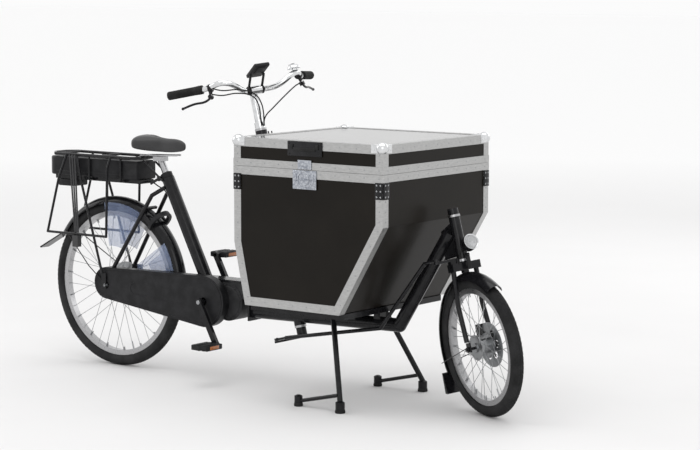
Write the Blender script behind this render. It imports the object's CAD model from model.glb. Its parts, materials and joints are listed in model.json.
import json
import math

import bmesh
import bpy
from mathutils import Matrix, Vector


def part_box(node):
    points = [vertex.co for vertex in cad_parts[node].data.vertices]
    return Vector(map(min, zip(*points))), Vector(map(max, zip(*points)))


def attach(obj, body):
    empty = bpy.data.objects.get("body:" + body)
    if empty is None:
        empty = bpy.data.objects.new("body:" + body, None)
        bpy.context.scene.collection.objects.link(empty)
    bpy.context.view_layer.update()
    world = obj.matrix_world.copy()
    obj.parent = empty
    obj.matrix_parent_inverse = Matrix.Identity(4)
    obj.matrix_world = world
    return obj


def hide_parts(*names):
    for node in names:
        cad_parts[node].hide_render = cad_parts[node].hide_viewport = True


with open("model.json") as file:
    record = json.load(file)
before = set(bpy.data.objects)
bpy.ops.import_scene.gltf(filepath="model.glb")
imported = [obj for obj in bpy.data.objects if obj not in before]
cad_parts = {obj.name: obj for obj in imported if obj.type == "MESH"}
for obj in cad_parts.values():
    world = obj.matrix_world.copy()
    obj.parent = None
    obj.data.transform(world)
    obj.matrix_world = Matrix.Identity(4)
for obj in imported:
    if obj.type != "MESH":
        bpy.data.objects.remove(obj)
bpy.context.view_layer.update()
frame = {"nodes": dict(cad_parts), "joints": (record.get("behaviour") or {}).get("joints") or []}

# Places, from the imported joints

joint = {j["name"]: j for j in frame["joints"]}
rear_axle_at = Vector(joint["rear_wheel_spin"]["pos_m"])
TILT = math.radians(14.5)
STEER = math.radians(-26)


def frame_at(place):
    """Frame with its origin at a place, metres in row axes, whose units are millimetres."""
    return Matrix.Translation(place) @ Matrix.Scale(0.001, 4)


def steered(place):
    turn = Matrix.Rotation(-TILT, 4, "Y") @ Matrix.Rotation(STEER, 4, "Z")
    return Matrix.Translation(place) @ turn @ Matrix.Scale(0.001, 4)


bike = frame_at(Vector((rear_axle_at.x, 0, 0)))
rear_wheel = frame_at(rear_axle_at)
column = steered(Vector(joint["steering_turn"]["pos_m"]))
fork = steered(Vector(joint["fork_turn"]["pos_m"]))
front_wheel = fork @ Matrix.Translation((9, 0, 0))


def along(start, end):
    """Frame at start whose Z axis runs to end."""
    start, end = Vector(start), Vector(end)
    return Matrix.Translation(start) @ (end - start).to_track_quat("Z", "Y").to_matrix().to_4x4()


def outward(side):
    """Turn that lays the Z axis along Y, away from the middle on that side."""
    return Matrix.Rotation(-side * math.pi / 2, 4, "X")


# Turns that lay the Z axis along X and along -Y
FORWARD = Matrix.Rotation(math.pi / 2, 4, "Y")
NEARWARD = Matrix.Rotation(math.pi / 2, 4, "X")

# Materials


class Value:
    """A node's output; arithmetic on it adds Math nodes."""

    def __init__(self, finish, socket):
        self.finish, self.socket = finish, socket

    def _math(self, operation, a, b=0.0):
        return self.finish.node("ShaderNodeMath", {"operation": operation}, [a, b])

    def __add__(self, other):
        return self._math("ADD", self, other)

    def __mul__(self, other):
        return self._math("MULTIPLY", self, other)

    def __sub__(self, other):
        return self._math("SUBTRACT", self, other)

    def __rsub__(self, other):
        return self._math("SUBTRACT", other, self)

    def __pow__(self, other):
        return self._math("POWER", self, other)

    __radd__, __rmul__ = __add__, __mul__

    def above(self, limit):
        return self._math("GREATER_THAN", self, limit)


class Finish:
    """A material with one Principled shader, whose constant sockets are set by name."""

    def __init__(self, name, **sockets):
        self.material = bpy.data.materials.new(name)
        self.material.use_nodes = True
        self.tree = self.material.node_tree
        self.shader = self.tree.nodes["Principled BSDF"]
        for socket, value in sockets.items():
            self.shader.inputs[socket.replace("_", " ")].default_value = value

    def node(self, kind, settings=None, values=(), output=0):
        made = self.tree.nodes.new(kind)
        for name, value in (settings or {}).items():
            if name == "stops":
                for stop, (place, shade) in zip(made.color_ramp.elements, value):
                    stop.position, stop.color = place, shade
            else:
                setattr(made, name, value)
        pairs = values.items() if isinstance(values, dict) else enumerate(values)
        for key, value in pairs:
            if isinstance(value, Value):
                self.tree.links.new(value.socket, made.inputs[key])
            else:
                made.inputs[key].default_value = value
        return Value(self, made.outputs[output])

    def place(self, scale=(1, 1, 1), turn=(0, 0, 0)):
        coordinates = self.node("ShaderNodeTexCoord", output=3)
        return self.node("ShaderNodeMapping", {}, {"Vector": coordinates, "Scale": scale, "Rotation": turn})

    def noise(self, scale, detail=3.0, stretch=(1, 1, 1)):
        return self.node("ShaderNodeTexNoise", {}, {
            "Vector": self.place(stretch), "Scale": scale, "Detail": detail, "Roughness": 0.55})

    def cells(self, scale, feature="F1"):
        return self.node("ShaderNodeTexVoronoi", {"feature": feature}, {
            "Vector": self.place(), "Scale": scale})

    def waves(self, scale, distort=0.0, direction="X"):
        return self.node("ShaderNodeTexWave", {"bands_direction": direction}, {
            "Vector": self.place(), "Scale": scale, "Distortion": distort, "Detail": 1.0})

    def mix(self, amount, a, b):
        made = self.tree.nodes.new("ShaderNodeMix")
        made.data_type = "RGBA"
        self.tree.links.new(amount.socket, made.inputs["Factor"])
        for key, shade in (("A", a), ("B", b)):
            for socket in made.inputs:
                if socket.name == key and socket.type == "RGBA":
                    if isinstance(shade, Value):
                        self.tree.links.new(shade.socket, socket)
                    else:
                        socket.default_value = (*shade, 1)
        return Value(self, [s for s in made.outputs if s.type == "RGBA"][0])

    def set(self, socket, value):
        self.tree.links.new(value.socket, self.shader.inputs[socket])
        return self

    def bump(self, height, strength=0.2, distance=0.001):
        normal = self.node("ShaderNodeBump", {}, {
            "Strength": strength, "Distance": distance, "Height": height})
        return self.set("Normal", normal)


def gloss_paint(name, shade, rough=0.16):
    made = Finish(name, Coat_Weight=0.2, Coat_Roughness=0.05, Specular_IOR_Level=0.15)
    dust = made.noise(38, 5)
    light = tuple(min(1, c * 2.1 + 0.006) for c in shade)
    made.set("Base Color", made.mix((dust - 0.42) * 1.6, shade, light))
    made.set("Roughness", made.noise(9, 4) * 0.2 + (rough - 0.05))
    return made.bump(made.noise(420, 2), 0.05, 0.0004)


def moulded(name, shade, rough=0.45, grain=900):
    made = Finish(name, Specular_IOR_Level=0.15)
    scuffs = made.noise(24, 6)
    light = tuple(c * 2.4 + 0.006 for c in shade)
    made.set("Base Color", made.mix((scuffs - 0.4) * 1.5, shade, light))
    made.set("Roughness", scuffs * 0.22 + (rough - 0.1))
    return made.bump(made.noise(grain, 2), 0.22, 0.0006)


def metal(name, shade, rough, grain=180, stretch=(1, 1, 1), depth=0.06):
    made = Finish(name, Metallic=1.0)
    streak = made.noise(grain, 5, stretch)
    dark = tuple(c * 0.72 for c in shade)
    made.set("Base Color", made.mix((streak - 0.3) * 1.6, dark, shade))
    made.set("Roughness", streak * 0.22 + max(0.0, rough - 0.09))
    return made.bump(streak, depth, 0.0004)


black_paint = gloss_paint("black_enamel", (0.007, 0.007, 0.008))
fender_black = gloss_paint("fender_black", (0.006, 0.006, 0.007), 0.12)
case_black = moulded("chain_case_plastic", (0.012, 0.012, 0.013), 0.34)
plastic = moulded("black_moulding", (0.014, 0.014, 0.015), 0.46)
battery_shell = moulded("battery_shell", (0.010, 0.010, 0.011), 0.34, 700)
motor_cast = moulded("motor_casting", (0.020, 0.020, 0.021), 0.42, 500)
chrome = metal("chrome_plate", (0.86, 0.87, 0.88), 0.1, 60, depth=0.01)
silver = metal("silver_alloy", (0.52, 0.52, 0.53), 0.28, 220)
steel = metal("steel_bare", (0.42, 0.43, 0.44), 0.3, 300)
brushed = metal("brushed_aluminium", (0.56, 0.56, 0.555), 0.33, 260, (0.25, 0.25, 1), 0.12)


LID_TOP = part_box("lid_panel")[1].z


def laminate_finish():
    made = Finish("film_faced_ply", Coat_Roughness=0.12, Specular_IOR_Level=0.12)
    cloud = made.noise(5, 6)
    fleck = made.noise(640, 3, (1, 1, 0.35))
    base = made.mix((cloud - 0.35) * 1.4, (0.0065, 0.0052, 0.0038), (0.0125, 0.0102, 0.0076))
    made.set("Base Color", made.mix((fleck - 0.58) * 3.0, base, (0.021, 0.017, 0.013)))
    made.set("Roughness", cloud * 0.14 + fleck * 0.1 + 0.2)
    height = made.node("ShaderNodeSeparateXYZ", {}, [made.place()], output=2)
    made.set("Coat Weight", height.above(LID_TOP - 0.0015) * 0.9 + 0.03)
    return made.bump(fleck, 0.1, 0.0005)


def zinc_finish():
    made = Finish("zinc_plate", Metallic=1.0)
    spangle = made.cells(120)
    made.set("Base Color", made.mix(spangle * 1.2, (0.58, 0.60, 0.64), (0.30, 0.32, 0.36)))
    made.set("Roughness", spangle * 0.3 + 0.2)
    return made.bump(made.noise(300, 3), 0.1, 0.0004)


def rubber_finish(name, shade, grain, depth):
    made = Finish(name, Specular_IOR_Level=0.15)
    dust = made.noise(17, 6)
    made.set("Base Color", made.mix((dust - 0.38) * 1.5, shade, tuple(c * 2.6 + 0.012 for c in shade)))
    made.set("Roughness", dust * 0.2 + 0.6)
    return made.bump(made.noise(grain, 3), depth, 0.0008)


def vinyl_finish():
    made = Finish("saddle_vinyl", Sheen_Weight=0.15, Specular_IOR_Level=0.5)
    pebble = made.cells(620)
    wear = made.noise(12, 5)
    made.set("Base Color", made.mix((wear - 0.4) * 1.6, (0.013, 0.013, 0.014), (0.034, 0.034, 0.036)))
    made.set("Roughness", wear * 0.2 + 0.32)
    return made.bump(pebble * -1.0 + made.noise(140, 2) * 0.4, 0.3, 0.0008)


def braid_finish():
    made = Finish("braided_strap")
    braid = made.waves(150, 1.2, "DIAGONAL")
    made.set("Base Color", made.mix(braid, (0.012, 0.012, 0.013), (0.07, 0.07, 0.072)))
    made.set("Roughness", braid * 0.1 + 0.7)
    return made.bump(braid, 0.6, 0.001)


def skirt_finish():
    made = Finish("skirt_film", Specular_IOR_Level=0.4)
    tint = made.noise(14, 4)
    made.set("Base Color", made.mix((tint - 0.3) * 1.5, (0.17, 0.22, 0.38), (0.42, 0.50, 0.66)))
    made.set("Roughness", tint * 0.2 + 0.2)
    made.set("Alpha", tint * 0.3 + 0.16)
    return made.bump(made.noise(60, 2), 0.1, 0.0006)


def lens_finish(name, shade, clear=0.0):
    made = Finish(name, Transmission_Weight=clear, IOR=1.46, Coat_Weight=0.8)
    facet = made.cells(260, "F1")
    made.set("Base Color", made.mix(facet * 1.3, shade, tuple(min(1, c * 1.5) for c in shade)))
    made.set("Roughness", facet * 0.1 + 0.04)
    return made.bump(facet, 0.3, 0.0006)


laminate = laminate_finish()
zinc = zinc_finish()
tyre_rubber = rubber_finish("tyre_rubber", (0.014, 0.014, 0.0145), 500, 0.3)
grip_rubber = rubber_finish("grip_rubber", (0.012, 0.012, 0.012), 800, 0.3)
flap_rubber = rubber_finish("flap_rubber", (0.022, 0.022, 0.023), 300, 0.2)
vinyl = vinyl_finish()
braid = braid_finish()
skirt = skirt_finish()
clear_lens = lens_finish("clear_lens", (0.82, 0.84, 0.86), 0.85)
red_lens = lens_finish("red_lens", (0.22, 0.012, 0.01))
amber_lens = lens_finish("amber_lens", (0.30, 0.085, 0.01))
screen_glass = lens_finish("screen_glass", (0.03, 0.034, 0.038))

# Making pieces


def keep(bm, name, body, finish, replaces=(), smooth=35, normals=True):
    """Turns a bmesh, whose places are in metres, into a piece of a body."""
    bmesh.ops.remove_doubles(bm, verts=bm.verts, dist=1e-6)
    if normals:
        bmesh.ops.recalc_face_normals(bm, faces=bm.faces)
    mesh = bpy.data.meshes.new(name)
    bm.to_mesh(mesh)
    bm.free()
    mesh.shade_smooth()
    mesh.set_sharp_from_angle(angle=math.radians(smooth))
    mesh.materials.append(finish.material)
    piece = bpy.data.objects.new(name, mesh)
    bpy.context.scene.collection.objects.link(piece)
    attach(piece, body)
    if replaces:
        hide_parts(*replaces)
    return piece


def block(bm, place, size, soft=0.0, segments=2):
    """Box centred in a frame, with its edges rounded."""
    made = bmesh.ops.create_cube(bm, size=1, matrix=place @ Matrix.Diagonal((*size, 1)))
    if soft:
        scale = place.to_scale().x
        edges = list({e for v in made["verts"] for e in v.link_edges})
        bmesh.ops.bevel(bm, geom=edges, offset=soft * scale, offset_type="OFFSET", affect="EDGES",
                        segments=segments, profile=0.5, material=-1, clamp_overlap=True)


def bar(bm, place, r, length, r_end=None, sides=24, soft=0.0):
    """Round bar that starts in a frame and runs along its Z axis."""
    made = bmesh.ops.create_cone(
        bm, cap_ends=True, segments=sides, radius1=r, radius2=r if r_end is None else r_end,
        depth=length, matrix=place @ Matrix.Translation((0, 0, length / 2)))
    if soft:
        faces = {f for v in made["verts"] for f in v.link_faces if len(f.verts) == sides}
        edges = list({e for f in faces for e in f.edges})
        bmesh.ops.bevel(bm, geom=edges, offset=soft * place.to_scale().x, offset_type="OFFSET",
                        affect="EDGES", segments=2, profile=0.5, material=-1)


def lathe(bm, outline, steps=48):
    """Turns an open outline of (radius, height) pairs about the Z axis."""
    verts = [bm.verts.new((r, 0, h)) for r, h in outline]
    edges = [bm.edges.new(pair) for pair in zip(verts, verts[1:])]
    bmesh.ops.spin(bm, geom=verts + edges, cent=(0, 0, 0), axis=(0, 0, 1),
                   angle=2 * math.pi, steps=steps, use_merge=True)


def turned(name, body, finish, place, outline, steps=48, replaces=(), smooth=35):
    """A piece made by turning one outline."""
    bm = bmesh.new()
    lathe(bm, outline, steps)
    bmesh.ops.transform(bm, matrix=place, verts=bm.verts)
    return keep(bm, name, body, finish, replaces, smooth)


def dome(bm, place, r, height, rings=5, sides=10):
    bmesh.ops.create_uvsphere(bm, u_segments=sides, v_segments=rings, radius=1,
                              matrix=place @ Matrix.Diagonal((r, r, height, 1)))


def tube(name, body, finish, place, points, r, replaces=(), sides=6, tight=False):
    """Tube along smooth points, given in a frame."""
    curve = bpy.data.curves.new(name, "CURVE")
    curve.dimensions = "3D"
    curve.bevel_depth = r * place.to_scale().x
    curve.bevel_resolution = sides
    curve.use_fill_caps = True
    curve.resolution_u = 8
    spline = curve.splines.new("BEZIER")
    spline.bezier_points.add(len(points) - 1)
    for knot, point in zip(spline.bezier_points, points):
        knot.co = place @ Vector(point)
        knot.handle_left_type = knot.handle_right_type = "VECTOR" if tight else "AUTO"
    draft = bpy.data.objects.new(name, curve)
    bpy.context.scene.collection.objects.link(draft)
    bpy.context.view_layer.update()
    mesh = bpy.data.meshes.new_from_object(draft.evaluated_get(bpy.context.evaluated_depsgraph_get()))
    bm = bmesh.new()
    bm.from_mesh(mesh)
    bpy.data.objects.remove(draft)
    bpy.data.curves.remove(curve)
    bpy.data.meshes.remove(mesh)
    return keep(bm, name, body, finish, replaces)


def dress(finish, *nodes):
    """Gives CAD nodes a finish."""
    for name in nodes:
        mesh = frame["nodes"][name].data
        mesh.materials.clear()
        mesh.materials.append(finish.material)


def spots(start, end, pitch):
    """Evenly spaced points from start to end."""
    start, end = Vector(start), Vector(end)
    count = max(1, round((end - start).length / pitch))
    return [start.lerp(end, i / count) for i in range(count + 1)]


# Camera, light and floor

camera_data = bpy.data.cameras.new("camera")
camera_data.lens, camera_data.sensor_width = 114.77, 36
camera = bpy.data.objects.new("camera", camera_data)
yaw, pitch, roll = 2.2121, -0.1145, -0.0012
camera.matrix_world = (
    Matrix.Translation((5.19005, -6.4557, 1.5623))
    @ Matrix.Rotation(yaw - math.pi / 2, 4, "Z")
    @ Matrix.Rotation(math.pi / 2 + pitch, 4, "X")
    @ Matrix.Rotation(-roll, 4, "Z"))
camera_data.clip_end = 200
bpy.context.scene.collection.objects.link(camera)
bpy.context.scene.camera = camera


def area_light(name, place, aim, size, power, shade=(1, 1, 1)):
    data = bpy.data.lights.new(name, "AREA")
    data.shape = "RECTANGLE"
    data.size, data.size_y = size
    data.energy = power
    data.color = shade
    lamp = bpy.data.objects.new(name, data)
    lamp.location = place
    lamp.rotation_euler = (Vector(aim) - Vector(place)).to_track_quat("-Z", "Y").to_euler()
    bpy.context.scene.collection.objects.link(lamp)


area_light("overhead_softbox", (0.4, -0.6, 4.2), (0, 0, 0.4), (4.5, 3.0), 62)
area_light("right_softbox", (3.4, -4.0, 2.4), (0.2, 0, 0.5), (2.2, 2.6), 26)
area_light("rear_softbox", (-4.2, -1.5, 2.6), (0, 0, 0.5), (2.0, 2.6), 24)
area_light("far_strip", (1.0, 4.5, 2.6), (0, 0, 0.4), (5.0, 1.6), 28)
world = bpy.data.worlds.new("studio")
world.use_nodes = True
world.node_tree.nodes["Background"].inputs["Color"].default_value = (1.0, 1.0, 1.0, 1)
world.node_tree.nodes["Background"].inputs["Strength"].default_value = 0.97
bpy.context.scene.world = world
bpy.context.scene.view_settings.view_transform = "Standard"

floor_finish = Finish("floor_paper", Roughness=0.9)
reach = floor_finish.node("ShaderNodeVectorMath", {"operation": "LENGTH"}, [floor_finish.place()],
                          output="Value")
paper = floor_finish.mix(floor_finish.noise(2, 2), (0.715, 0.71, 0.71), (0.745, 0.74, 0.74))
floor_finish.set("Base Color", floor_finish.mix((reach - 2.0) * 0.12, paper, (0.99, 0.99, 0.99)))
bm = bmesh.new()
bmesh.ops.create_grid(bm, x_segments=1, y_segments=1, size=60)
floor_mesh = bpy.data.meshes.new("floor")
bm.to_mesh(floor_mesh)
bm.free()
floor_mesh.materials.append(floor_finish.material)
floor = bpy.data.objects.new("floor", floor_mesh)
bpy.context.scene.collection.objects.link(floor)

# Finishes of the frame's own nodes

dress(black_paint, "seat_tube", "main_tube", "front_tube", "column_tube", "chain_stays", "seat_stays",
      "rack", "pannier_guards", "box_carrier", "steering_shaft", "tie_rod", "fork", "kickstand",
      "crankset", "rear_caliper")
dress(fender_black, "rear_fender", "front_fender")
dress(case_black, "chain_case")
dress(motor_cast, "drive_motor")
dress(plastic, "ring_lock", "seat_clamp", "seat_clamp_lever", "display_button", "gear_shifter",
      "brake_lever_left", "brake_lever_right")
dress(steel, "chain", "rear_axle", "rear_spokes", "front_spokes", "bell_lever", "front_hub", "rear_hub")
dress(silver, "headset_cups", "front_rim", "rear_rim", "seat_post")
dress(laminate, "box_panels", "lid_panel")
dress(brushed, "box_edges", "lid_edges")
dress(chrome, "stem")
dress(zinc, "latch_wing")
dress(braid, "bungee_straps")
dress(skirt, "skirt_guards")

# Wheels


def tyre(name, body, place, r, replaces, knobs):
    half = 23.5
    ring = r - half
    bm = bmesh.new()
    angles = [math.radians(a) for a in range(-138, 139, 12)]
    outer = [(ring + (half - 1.3) * math.cos(a), (half - 0.4) * math.sin(a)) for a in angles]
    bead = [(outer[-1][0], 10.2), (outer[-1][0], -10.2), outer[0]]
    lathe(bm, outer + bead, 128)
    for i in range(knobs):
        for row, lean in enumerate((-58, -34, -11, 11, 34, 58)):
            angle = 2 * math.pi * (i + 0.5 * (row % 2)) / knobs
            spot = (Matrix.Rotation(angle, 4, "Z") @ Matrix.Translation((ring, 0, 0))
                    @ Matrix.Rotation(-math.radians(lean), 4, "Y") @ Matrix.Translation((half - 1.3, 0, 0)))
            length = 2 * math.pi * r / knobs * (0.62 if abs(lean) < 20 else 0.5)
            block(bm, spot, (2.6 if abs(lean) < 50 else 2.0, length, 6.6))
    bmesh.ops.transform(bm, matrix=place @ outward(1), verts=bm.verts)
    return keep(bm, name, body, tyre_rubber, replaces, 40)


tyre("rear_tyre_tread", "rear_wheel", rear_wheel, 327, ["rear_tyre"], 110)
tyre("front_tyre_tread", "front_wheel", front_wheel, 250, ["front_tyre"], 84)


def wheel_trim(name, body, place, rim_r):
    """Spoke nipples at the rim, and the valve."""
    bm = bmesh.new()
    for k in range(36):
        side = 1 if k % 2 else -1
        angle = math.radians(10 * k + 5 * side)
        spot = Matrix.Rotation(-angle, 4, "Y") @ Matrix.Translation((rim_r - 31, side * 3, 0)) @ FORWARD
        bar(bm, place @ spot, 1.9, 12.5, 1.7, 8)
    valve = Matrix.Rotation(-math.radians(-74), 4, "Y") @ Matrix.Translation((rim_r - 50, 0, 0)) @ FORWARD
    bar(bm, place @ valve, 2.6, 32, 3.2, 12)
    keep(bm, name, body, steel)


wheel_trim("rear_nipples", "rear_wheel", rear_wheel, 286)
wheel_trim("front_nipples", "front_wheel", front_wheel, 209)

bm = bmesh.new()
for k in range(6):
    arm = Matrix.Rotation(math.radians(60 * k + 12), 4, "Y") @ Matrix.Translation((30, 38.6, 0))
    block(bm, front_wheel @ arm, (34, 2.4, 7), 1)
    bolt = Matrix.Rotation(math.radians(60 * k + 30), 4, "Y") @ Matrix.Translation((20.5, 40, 0))
    dome(bm, front_wheel @ bolt @ Matrix.Rotation(-math.pi / 2, 4, "X"), 3, 2)
keep(bm, "front_rotor_carrier", "front_wheel", black_paint)

bm = bmesh.new()
for side in (-1, 1):
    end = Matrix.Translation((0, side * 79, 0)) @ outward(side)
    bar(bm, rear_wheel @ end, 6.4, 9, sides=6, soft=0.8)
keep(bm, "rear_axle_caps", "frame", steel)

# Box fittings

BOX_REAR, BOX_FRONT, BOX_Y = 864, 1520, 325
SIDE = BOX_Y + 1.5


def rivet_rows(bm, rows, normal, r=3.6, height=1.5):
    """Domed rivets along rows, facing along normal."""
    turn = Vector(normal).to_track_quat("Z", "Y").to_matrix().to_4x4()
    for start, end, pitch in rows:
        for spot in spots(start, end, pitch):
            dome(bm, bike @ Matrix.Translation(spot) @ turn, r, height)


bm = bmesh.new()
lid_bm = bmesh.new()
for s in (-1, 1):
    y, yb = s * SIDE, s * (SIDE + 1.5)
    rivet_rows(bm, [
        ((BOX_REAR + 15, yb, 849), (BOX_FRONT - 15, yb, 849), 62),
        ((BOX_REAR + 14, y, 770), (BOX_REAR + 14, y, 602), 56),
        ((BOX_REAR + 22, y, 570), (924, y, 392), 62),
        ((940, y, 377), (1315, y, 377), 62),
        ((1340, y, 398), (1500, y, 668), 62),
        ((BOX_FRONT - 14, y, 700), (BOX_FRONT - 14, y, 770), 46),
    ], (0, s, 0), 2.8, 1.1)
    rivet_rows(lid_bm, [
        ((BOX_REAR + 15, yb, 876), (BOX_FRONT - 15, yb, 876), 62),
        ((BOX_REAR + 40, y, 948), (BOX_FRONT - 40, y, 948), 72),
        ((BOX_REAR + 14, y, 905), (BOX_REAR + 14, y, 930), 25),
        ((BOX_FRONT - 14, y, 905), (BOX_FRONT - 14, y, 930), 25),
    ], (0, s, 0), 2.8, 1.1)
    top_y = s * (BOX_Y - 14)
    rivet_rows(lid_bm, [((BOX_REAR + 40, top_y, 964), (BOX_FRONT - 40, top_y, 964), 72)], (0, 0, 1), 2.8, 1.0)
for x, way in ((BOX_REAR - 3, -1), (BOX_FRONT + 3, 1)):
    rivet_rows(bm, [((x, -300, 849), (x, 300, 849), 62)], (way, 0, 0), 2.8, 1.1)
    rivet_rows(lid_bm, [((x, -300, 876), (x, 300, 876), 62)], (way, 0, 0), 2.8, 1.1)
    rivet_rows(lid_bm, [((x - 1.5 * way, -280, 948), (x - 1.5 * way, 280, 948), 72)], (way, 0, 0), 2.8, 1.1)
    rivet_rows(lid_bm, [((x - way * 16, -290, 964), (x - way * 16, 290, 964), 72)], (0, 0, 1), 2.8, 1.0)
for y in (-311, 311):
    rivet_rows(bm, [((BOX_FRONT + 1.5, y, 700), (BOX_FRONT + 1.5, y, 770), 46)], (1, 0, 0), 2.8, 1.1)
    rivet_rows(bm, [((BOX_REAR - 1.5, y, 600), (BOX_REAR - 1.5, y, 770), 56)], (-1, 0, 0), 2.8, 1.1)
keep(bm, "box_rivets", "frame", steel)
keep(lid_bm, "lid_rivets", "lid", steel)

# Dished corner braces and their rivets
bm, heads = bmesh.new(), bmesh.new()
for s in (-1, 1):
    for x in (BOX_REAR + 15, BOX_FRONT - 15):
        block(bm, bike @ Matrix.Translation((x, s * (SIDE + 2.0), 806)), (32, 4.4, 58), 1.6)
        face = s * (SIDE + 4)
        rivet_rows(heads, [((x + shift, face, 826), (x + shift, face, 786), 20) for shift in (-8, 8)],
                   (0, s, 0), 3.4, 2)
    for x, way in ((BOX_REAR - 1.5, -1), (BOX_FRONT + 1.5, 1)):
        block(bm, bike @ Matrix.Translation((x + way * 2.0, s * (BOX_Y - 15), 806)), (4.4, 32, 58), 1.6)
        face = x + way * 4
        rivet_rows(heads, [((face, s * (BOX_Y - inset), 826), (face, s * (BOX_Y - inset), 786), 20)
                           for inset in (23, 7)], (way, 0, 0), 3.4, 2)
keep(heads, "brace_rivets", "frame", steel)
keep(bm, "corner_braces", "frame", black_paint, ["box_fittings"])

# Butterfly latch: dish on the box, strike on the lid, turning wing
LATCH_X, LATCH_Z = 1185, 828
bm = bmesh.new()
plate = bike @ Matrix.Translation((LATCH_X, -SIDE - 3.1, 827.8))
block(bm, plate, (104, 3.2, 67), 1.2)
for x in (-44, 44):
    for z in (-26, 26):
        dome(bm, plate @ Matrix.Translation((x, -1.6, z)) @ NEARWARD, 3.8, 2.2)
ring = bike @ Matrix.Translation((LATCH_X, -SIDE - 4.6, LATCH_Z)) @ NEARWARD
for angle in range(0, 360, 10):
    turn = Matrix.Rotation(math.radians(angle), 4, "Z")
    block(bm, ring @ turn @ Matrix.Translation((29, 0, 0.6)), (3.2, 5.4, 2.2), 0.6)
for s in (-1, 1):
    block(bm, plate @ Matrix.Translation((s * 39, -2.2, 6)), (7, 3.4, 30), 1)
for x in (-44, 44):
    block(bm, plate @ Matrix.Translation((x, -1.4, 0)), (6, 2, 8), 0.6)
keep(bm, "latch_dish", "frame", zinc)
bm = bmesh.new()
wing = bike @ Matrix.Translation((LATCH_X, -SIDE - 5.6, LATCH_Z))
bar(bm, wing @ NEARWARD, 21, 1.6, 20, 32)
for s in (-1, 1):
    leaf = wing @ Matrix.Translation((s * 13, -6.4, 0)) @ Matrix.Rotation(math.radians(14 * s), 4, "X")
    block(bm, leaf, (24, 9.4, 2.0), 0.9)
    dome(bm, wing @ Matrix.Translation((s * 24, -7.4, 0)), 3.4, 1.6)
bar(bm, wing @ NEARWARD, 5, 7, 3.6, 16, 0.6)
keep(bm, "latch_butterfly", "latch", zinc, ["latch_wing"])

# Lid hardware: ball corners, strike and the spring handle on its plate
bm = bmesh.new()
for x in (BOX_REAR + 10, BOX_FRONT - 10):
    way = -1 if x < 1000 else 1
    for s in (-1, 1):
        corner = Vector((x, s * 315, 952))
        bmesh.ops.create_uvsphere(bm, u_segments=32, v_segments=20, radius=0.0216,
                                  matrix=Matrix.Translation(bike @ corner))
        legs = ((Vector((way * 11.2, -s * 19, -1)), (4, 40, 30)),
                (Vector((-way * 19, s * 11.2, -1)), (40, 4, 30)),
                (Vector((-way * 12, -s * 12, 12.2)), (44, 44, 3)))
        for shift, size in legs:
            block(bm, bike @ Matrix.Translation(corner + shift), size, 1.2)
        for shift in ((way * 12.6, -s * 28, -4), (-way * 28, s * 12.6, -4)):
            dome(bm, bike @ Matrix.Translation(corner + Vector(shift)), 3.4, 3.4)
keep(bm, "ball_corners", "lid", chrome, ["lid_fittings"])
bm = bmesh.new()
hand = bike @ Matrix.Translation((LATCH_X, -SIDE - 2.0, 936))
block(bm, hand, (152, 3.8, 52), 1.6)
block(bm, hand @ Matrix.Translation((0, -1.6, 0)), (120, 2.2, 34), 1.0)
keep(bm, "handle_plate", "lid", black_paint)
bm = bmesh.new()
for s in (-1, 1):
    block(bm, hand @ Matrix.Translation((s * 56, -3.4, 8)), (12, 5, 18), 1.6)
    for z in (-19, 19):
        dome(bm, hand @ Matrix.Translation((s * 68, -2, z)) @ NEARWARD, 3.6, 2)
block(bm, hand @ Matrix.Translation((0, -3.6, -2)), (98, 5.4, 13), 2.2, 3)
keep(bm, "handle_grip", "lid", grip_rubber)
bm = bmesh.new()
block(bm, bike @ Matrix.Translation((LATCH_X, -SIDE - 3.1, 880.5)), (60, 3.2, 33), 1.2)
for x in (-22, 22):
    dome(bm, bike @ Matrix.Translation((LATCH_X + x, -SIDE - 4.8, 888)) @ NEARWARD, 3.8, 2.2)
block(bm, bike @ Matrix.Translation((LATCH_X, -SIDE - 6.2, 869)), (26, 3.4, 8), 1.2)
keep(bm, "latch_strike", "lid", zinc)

# Handlebar, grips, levers and what they carry

BAR = [Vector(p) for p in (
    (22, -34, 147), (64, -68, 146), (82, -144, 182), (18, -194, 178), (-99, -297, 186))]


def left(point):
    return Vector((point[0], -point[1], point[2]))


grip_way = (BAR[4] - BAR[3]).normalized()
lean = Vector((0.35, 0, -1))
drop = (lean - grip_way * lean.dot(grip_way)).normalized()
pivot = BAR[3] - 18 * grip_way + 34 * drop
ahead = grip_way.cross(drop)

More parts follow.
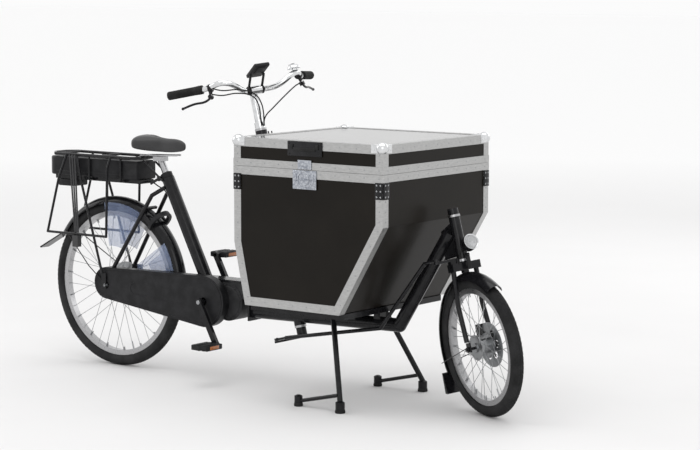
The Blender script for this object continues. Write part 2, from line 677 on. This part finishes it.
path = [left(p) for p in reversed(BAR)] + list(BAR)
path.insert(5, Vector((22, 0, 147)))
tube("swept_bar", "steering", chrome, column, path, 11, ["handlebar"], 10)
for side in (1, -1):
    word = "right" if side > 0 else "left"
    flip = (lambda p: p) if side > 0 else left
    clamp_at = along(flip(BAR[3] - 26 * grip_way), flip(BAR[3] - 10 * grip_way))
    bm = bmesh.new()
    bar(bm, column @ clamp_at, 15.2, 15, sides=32, soft=1.4)
    perch = along(flip(BAR[3] - 18 * grip_way + 12 * drop), flip(pivot - 4 * drop))
    bar(bm, column @ perch, 7.6, 12, 6.4, 20, 1)
    pin = along(flip(pivot - 9 * ahead), flip(pivot + 9 * ahead))
    bar(bm, column @ pin, 3.4, 18, sides=16, soft=0.6)
    for s in (-1, 1):
        cheek = along(flip(pivot + (6.8 if s > 0 else -9.2) * ahead), flip(pivot + 20 * ahead))
        bar(bm, column @ cheek, 8.2, 2.4, sides=20, soft=0.5)
    keep(bm, f"lever_perch_{word}", "steering", black_paint)
    far = flip(BAR[4])
    start = flip(BAR[4] - 122 * grip_way)
    rib = []
    for i in range(24):
        rib += [(16.0, 4 + i * 4.7), (16.0, 6.6 + i * 4.7), (15.2, 7.1 + i * 4.7), (15.2, 8.3 + i * 4.7)]
    outline = [(11.2, 0), (16.4, 0.4), (16.4, 3.4)] + rib
    outline += [(16.0, 118), (15.0, 121), (11, 121.6), (0.01, 121.7)]
    turned(f"ribbed_grip_{word}", "steering", grip_rubber, column @ along(start, far), outline, 40,
           ["grips"] if side > 0 else (), 28)
    lever_body = f"{word}_brake_lever"
    blade = [pivot + 3 * drop, pivot + 22 * grip_way + 14 * drop, pivot + 70 * grip_way + 16 * drop,
             pivot + 116 * grip_way + 25 * drop]
    tube(f"lever_blade_{word}", lever_body, black_paint, column, [flip(p) for p in blade], 4.4,
         [f"brake_lever_{word}"])
    bm = bmesh.new()
    tip = flip(pivot + 117 * grip_way + 25.4 * drop)
    bmesh.ops.create_uvsphere(bm, u_segments=20, v_segments=12, radius=0.0056,
                              matrix=Matrix.Translation(column @ tip))
    hub = along(flip(pivot - 4.6 * ahead), flip(pivot + 4.6 * ahead))
    bar(bm, column @ hub, 7, 9.2, sides=24, soft=0.7)
    keep(bm, f"lever_tip_{word}", lever_body, black_paint)

bm = bmesh.new()
shift_at = along(BAR[3] + 12.8 * grip_way, BAR[3] + 33 * grip_way)
bar(bm, column @ shift_at, 15.4, 20, 16.4, 40, 1)
for k in range(20):
    ridge = shift_at @ Matrix.Rotation(math.radians(18 * k), 4, "Z") @ Matrix.Translation((15.9, 0, 10))
    block(bm, column @ ridge, (1.6, 2.2, 17), 0.4)
keep(bm, "shifter_sleeve", "shifter", grip_rubber, ["gear_shifter"])

# Display, its legs and clamps
tilted = Matrix.Translation((78, 0, 212)) @ Matrix.Rotation(math.radians(-16), 4, "Y")
bm = bmesh.new()
block(bm, column @ tilted, (96, 62, 14), 4, 3)
block(bm, column @ tilted @ Matrix.Translation((14, 0, -7.6)), (50, 34, 6), 2)
for s in (-1, 1):
    bar(bm, column @ along((28, 27 * s, 158), (68, 27 * s, 202)), 4.6, 55, sides=16)
    ring_at = Matrix.Translation((22, 27 * s - 4.5, 147)) @ outward(1)
    bar(bm, column @ ring_at, 16, 9, sides=32, soft=1)
keep(bm, "display_mount", "steering", plastic, ["bar_fittings"])
bm = bmesh.new()
block(bm, column @ tilted @ Matrix.Translation((10, 0, 6.9)), (62, 50, 1.6), 0.7)
keep(bm, "display_glass", "steering", screen_glass)

# Bell
bell_at = column @ Matrix.Translation(left(BAR[2]) + Vector((0, 0, 11)))
turned("bell_dome", "steering", chrome, bell_at, [
    (0.01, 22), (8, 21.6), (15, 19.8), (20, 16.6), (23.4, 12), (24.8, 7), (25, 5.2), (24, 5.2),
    (22, 10), (18, 14), (9, 17.6), (8, 4), (8, -1), (0.01, -1)], 48)

# Cables held by the bars, the column and the frame
bar_runs = [
    [(40, -184, 152), (66, -158, 140), (98, -112, 136), (94, -54, 120), (64, -20, 92),
     (42, -8, 62), (28, -4, 36), (23, -2, 12)],
    [(30, -196, 186), (72, -160, 158), (112, -104, 146), (104, -46, 124), (74, -12, 92),
     (48, 2, 56), (30, 6, 30), (23, 6, 10)],
    [(40, 184, 152), (62, 162, 142), (104, 120, 128), (98, 70, 96), (70, 34, 66),
     (42, 14, 46), (27, 8, 28), (22, 7, 12)],
]
for i, run in enumerate(bar_runs):
    tube(f"bar_cable_{i}", "steering", grip_rubber, column, run, 2.4, ["bar_cables"] if i == 0 else (), 4)
column_run = [(764, -8, 962), (776, -6, 900), (792, -5, 800), (817, -5, 700), (842, -5, 600), (868, -6, 500),
              (893, -10, 400), (908, -26, 345), (878, -28, 305), (820, -28, 291), (760, -28, 290), (693, -28, 288)]
front_run = [(770, 4, 962), (782, 4, 900), (798, 4, 800), (819, 5, 700), (844, 6, 600), (869, 8, 500),
             (894, 14, 400), (912, 26, 345), (940, 28, 302), (1010, 28, 291), (1130, 28, 290), (1250, 28, 290),
             (1355, 28, 290), (1400, 28, 350), (1480, 28, 480), (1556, 28, 605)]
rear_run = [(263, 0, 690), (236, 6, 708), (200, 10, 722), (172, 11, 734), (150.3, 11, 737)]
for name, run in (("column_cable", column_run), ("front_cable", front_run), ("rack_cable", rear_run)):
    tube(name, "frame", grip_rubber, bike, run, 2.4, ["frame_cables"] if name == "column_cable" else (), 4)
bm = bmesh.new()
for z, x in ((900, 779), (780, 800), (640, 833)):
    block(bm, bike @ Matrix.Translation((x - 10, -1, z)), (26, 18, 6), 2)
for x in (1010, 1180, 1320):
    block(bm, bike @ Matrix.Translation((x, 26, 290)), (7, 10, 10), 2)
keep(bm, "cable_clips", "frame", plastic)

# Headlight

nod = fork @ Matrix.Translation((36, 0, 354)) @ Matrix.Rotation(math.radians(90 - 14.5), 4, "Y")
turned("headlight_shell", "front_fork", fender_black, nod, [
    (0.01, -0.5), (10, 0), (17, 3), (22.5, 9), (26, 18), (27.6, 30), (28, 50), (26.4, 50), (24.6, 40), (0.01, 38)],
    56, ["headlight"])
turned("headlight_ring", "front_fork", chrome, nod, [
    (24.2, 44), (26.6, 47), (28.1, 49.4), (28, 51.6), (26, 52), (24, 50), (23.6, 46), (24.2, 44)], 56)
turned("headlight_reflector", "front_fork", silver, nod, [(0.01, 40), (12, 42), (20, 46), (24, 49)], 48)
turned("headlight_lens", "front_fork", clear_lens, nod, [
    (0.01, 52.5), (10, 52.2), (18, 51.2), (24, 49.4), (24, 48.4), (0.01, 50)], 48)
bm = bmesh.new()
block(bm, fork @ Matrix.Translation((38.5, 0, 305)), (4.6, 16, 54), 1.2)
block(bm, fork @ Matrix.Translation((29, 0, 281)), (17, 16, 6), 1.2)
bar(bm, fork @ Matrix.Translation((36, 0, 326)) @ FORWARD, 6, 10, sides=20, soft=0.8)
keep(bm, "headlight_bracket", "front_fork", black_paint)
tube("headlight_wire", "front_fork", grip_rubber, fork,
     [(38, 0, 352), (26, -16, 340), (22, -26, 318), (20, -30, 300), (16, -40, 290)], 2, (), 3)

# Saddle

bm = bmesh.new()
bmesh.ops.create_uvsphere(bm, u_segments=56, v_segments=28, radius=1)
for v in bm.verts:
    along_x, across, up = v.co.y, v.co.x, v.co.z
    s = (along_x + 1) / 2
    half = min(100 * (1 - s) ** 0.55 + 22, max(20, 102 - 190 * max(0, s - 0.16) ** 0.82))
    x = 228 + 123 * math.copysign(abs(along_x) ** 0.86, along_x)
    top = 30 + 14 * (1 - s) ** 2 - 8 * math.exp(-((s - 0.55) / 0.2) ** 2)
    groove = 5.5 * math.exp(-(across / 0.16) ** 2) * (0.2 < s < 0.82)
    z = 884 + 6 * (1 - s)
    if up > 0:
        z += (top - groove) * up ** 0.8
    else:
        z -= (34 + 4 * s) * abs(up) ** 0.55 * (0.55 + 0.45 * abs(across) ** 0.5)
    v.co = bike @ Vector((x, across * half, max(845.5, min(z, 938.5))))
saddle = keep(bm, "saddle_top", "seat", vinyl, ["saddle"], 180)

# Battery and rear light

bm = bmesh.new()
lo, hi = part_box("battery")
centre, size = (lo + hi) / 2, hi - lo
inner = size - Vector((0.001,) * 3)
bmesh.ops.create_cube(bm, size=1, matrix=Matrix.Translation(centre) @ Matrix.Diagonal((*inner, 1)))
upright = [e for e in bm.edges
           if abs(e.verts[0].co.z - e.verts[1].co.z) > 0.01 and e.verts[0].co.x < centre.x]
bmesh.ops.bevel(bm, geom=upright, offset=0.046, offset_type="OFFSET", affect="EDGES",
                segments=10, profile=0.5, material=-1)
sharp = [e for e in bm.edges if len(e.link_faces) == 2 and e.calc_face_angle(0) > 0.5]
bmesh.ops.bevel(bm, geom=sharp, offset=0.006, offset_type="OFFSET", affect="EDGES",
                segments=3, profile=0.5, material=-1)
keep(bm, "battery_shell", "battery_pack", battery_shell, ["battery"], 40)
bm = bmesh.new()
block(bm, bike @ Matrix.Translation((-90, 0, 819.4)), (330, 62, 1.6), 0.6)
block(bm, bike @ Matrix.Translation((112, 0, 785)), (70, 112.6, 46), 3)
for s in (-1, 1):
    block(bm, bike @ Matrix.Translation((-110, s * 56.2, 762)), (340, 1.6, 5), 0.5)
keep(bm, "battery_trim", "battery_pack", plastic)
bm = bmesh.new()
block(bm, bike @ Matrix.Translation((-245, 0, 714.8)), (88, 82, 28), 6, 3)
keep(bm, "tail_light_body", "frame", plastic, ["rear_light"])
bm = bmesh.new()
block(bm, bike @ Matrix.Translation((-289, 0, 714.8)), (4, 70, 22), 1.8, 3)
keep(bm, "tail_light_lens", "frame", red_lens)

# Motor covers, crank bolts and chain case seam

CRANK_X, CRANK_Z, CRANK_LENGTH, PEDAL_Y = 500, 306, 175, 154

bm = bmesh.new()
for s in (-1, 1):
    hub_at = bike @ Matrix.Translation((588, 46 if s > 0 else -38, 308)) @ outward(s)
    bar(bm, hub_at, 62, 3.4 if s > 0 else 2.4, 58, 48, 1)
    for k in range(8):
        head = Matrix.Rotation(math.radians(45 * k + 10), 4, "Z") @ Matrix.Translation((64.5, 0, 0.6))
        dome(bm, hub_at @ head, 4, 3)
keep(bm, "motor_cover", "frame", motor_cast)
bm = bmesh.new()
for s in (-1, 1):
    bar(bm, bike @ Matrix.Translation((CRANK_X, s * 106, CRANK_Z)) @ outward(s), 9, 3, 7.6, 24, 0.8)
keep(bm, "crank_caps", "crank", steel)


def ring_line(centre, r, start, end, count, y):
    """Evenly spaced points on an arc in the XZ plane, between two angles in degrees."""
    angles = [math.radians(start + (end - start) * i / count) for i in range(count + 1)]
    return [(centre[0] + r * math.cos(a), y, centre[1] + r * math.sin(a)) for a in angles]


seam = ring_line((CRANK_X, CRANK_Z), 88, -98, 84, 14, -75.6) + ring_line((0, 335), 53, 96, 262, 10, -75.6)
seam.append(seam[0])
tube("case_ridge", "frame", case_black, bike, seam, 2.2, (), 3)

# Pedals


def pedal(word, side, angle):
    centre = Vector((CRANK_X + CRANK_LENGTH * math.cos(angle), side * PEDAL_Y,
                     CRANK_Z + CRANK_LENGTH * math.sin(angle)))
    bm, lens = bmesh.new(), bmesh.new()
    place = bike @ Matrix.Translation(centre)
    bar(bm, place @ Matrix.Translation((0, -side * 47.5, 0)) @ outward(side), 10.6, 94, sides=24, soft=1)
    for s in (-1, 1):
        block(bm, place @ Matrix.Translation((s * 34, 0, 0)), (9, 90, 19), 2)
        block(bm, place @ Matrix.Translation((s * 16, 0, 0)), (12, 84, 22), 2)
        for k in range(9):
            block(bm, place @ Matrix.Translation((s * 27, -38 + 9.5 * k, 0)), (20, 3.4, 21), 0.8)
        block(bm, place @ Matrix.Translation((0, s * 43, 0)), (76, 5, 17), 1.6)
        block(lens, place @ Matrix.Translation((s * 38.4, 0, 0)), (1.6, 52, 13), 0.5)
    body = f"{word}_pedal"
    keep(bm, f"pedal_cage_{word}", body, plastic, [f"pedal_{word}"])
    keep(lens, f"pedal_reflector_{word}", body, amber_lens)


pedal("right", -1, math.radians(-62))
pedal("left", 1, math.radians(118))

# Stand feet, mudflap and small brackets

bm = bmesh.new()
for s in (-1, 1):
    for x, y, r in ((1285, 255, 17), (1088, 242, 15)):
        place = bike @ Matrix.Translation((x, s * y, 0))
        bar(bm, place, r + 1, 8, r + 2, 32, 1.6)
        bar(bm, place @ Matrix.Translation((0, 0, 8)), r + 1, 22, r - 3, 32, 1.2)
keep(bm, "stand_feet", "stand", grip_rubber)

bm = bmesh.new()
flap_at = Matrix.Translation((-256, 0, -110)) @ Matrix.Rotation(math.radians(-6), 4, "Y")
block(bm, front_wheel @ flap_at, (3.6, 74, 78), 1.4)
keep(bm, "front_mudflap", "front_fork", flap_rubber)

bm = bmesh.new()
for s in (-1, 1):
    block(bm, bike @ Matrix.Translation((CRANK_X, s * 35.4, 360)), (90, 2.6, 34), 1)
block(bm, bike @ Matrix.Translation((1190, -262, 352)), (240, 6, 14), 2)
keep(bm, "frame_plates", "frame", black_paint)
